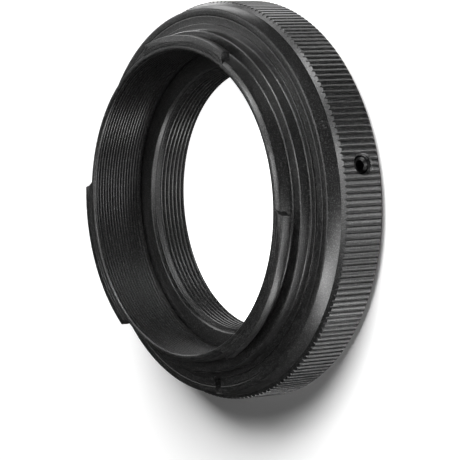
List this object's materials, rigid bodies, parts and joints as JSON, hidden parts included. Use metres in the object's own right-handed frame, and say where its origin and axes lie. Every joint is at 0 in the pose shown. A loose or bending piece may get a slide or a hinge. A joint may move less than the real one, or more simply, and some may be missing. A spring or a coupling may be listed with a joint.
{
  "type": "t-ring adapter",
  "caption": "Black anodised camera adapter ring: bayonet tube with lugs, stepped flange with a lock notch, straight-knurled grip, and a loose threaded lens ring held by cone-point set screws.",
  "frame": {"origin": "on the optical axis, in the thread ring's rear face, which the lens seats on and the part rests on", "axes": "+Z along the optical axis towards the camera body, with the lock-pin notch at -Y"},
  "size_m": [0.0628, 0.0628, 0.0161],
  "materials": {
    "black_anodised": "turned, fine-blasted and black anodised, satin",
    "insert_anodised": "turned and black anodised, satin",
    "blackened_steel": "black oxide",
    "bright_steel": "ground, bright"
  },
  "bodies": {
    "mount": {"mount_ring": "black_anodised", "stop_pin": "bright_steel"},
    "insert": {"insert_ring": "insert_anodised"},
    "screw_1": {"set_screw_1": "blackened_steel"},
    "screw_2": {"set_screw_2": "blackened_steel"},
    "screw_3": {"set_screw_3": "blackened_steel"}
  },
  "joints": [
    {"name": "insert_turn", "type": "hinge", "parent": "mount", "child": "insert", "pos_m": [0, 0, 0.004], "axis": [0, 0, 1], "continuous": true},
    {"name": "screw_1_travel", "type": "slide", "parent": "mount", "child": "screw_1", "axis": [0.991, 0.134, 0], "range_m": [0, 0.001]},
    {"name": "screw_2_travel", "type": "slide", "parent": "mount", "child": "screw_2", "axis": [-0.6115, 0.7912, 0], "range_m": [0, 0.001]},
    {"name": "screw_3_travel", "type": "slide", "parent": "mount", "child": "screw_3", "axis": [-0.3795, -0.9252, 0], "range_m": [0, 0.001]}
  ]
}
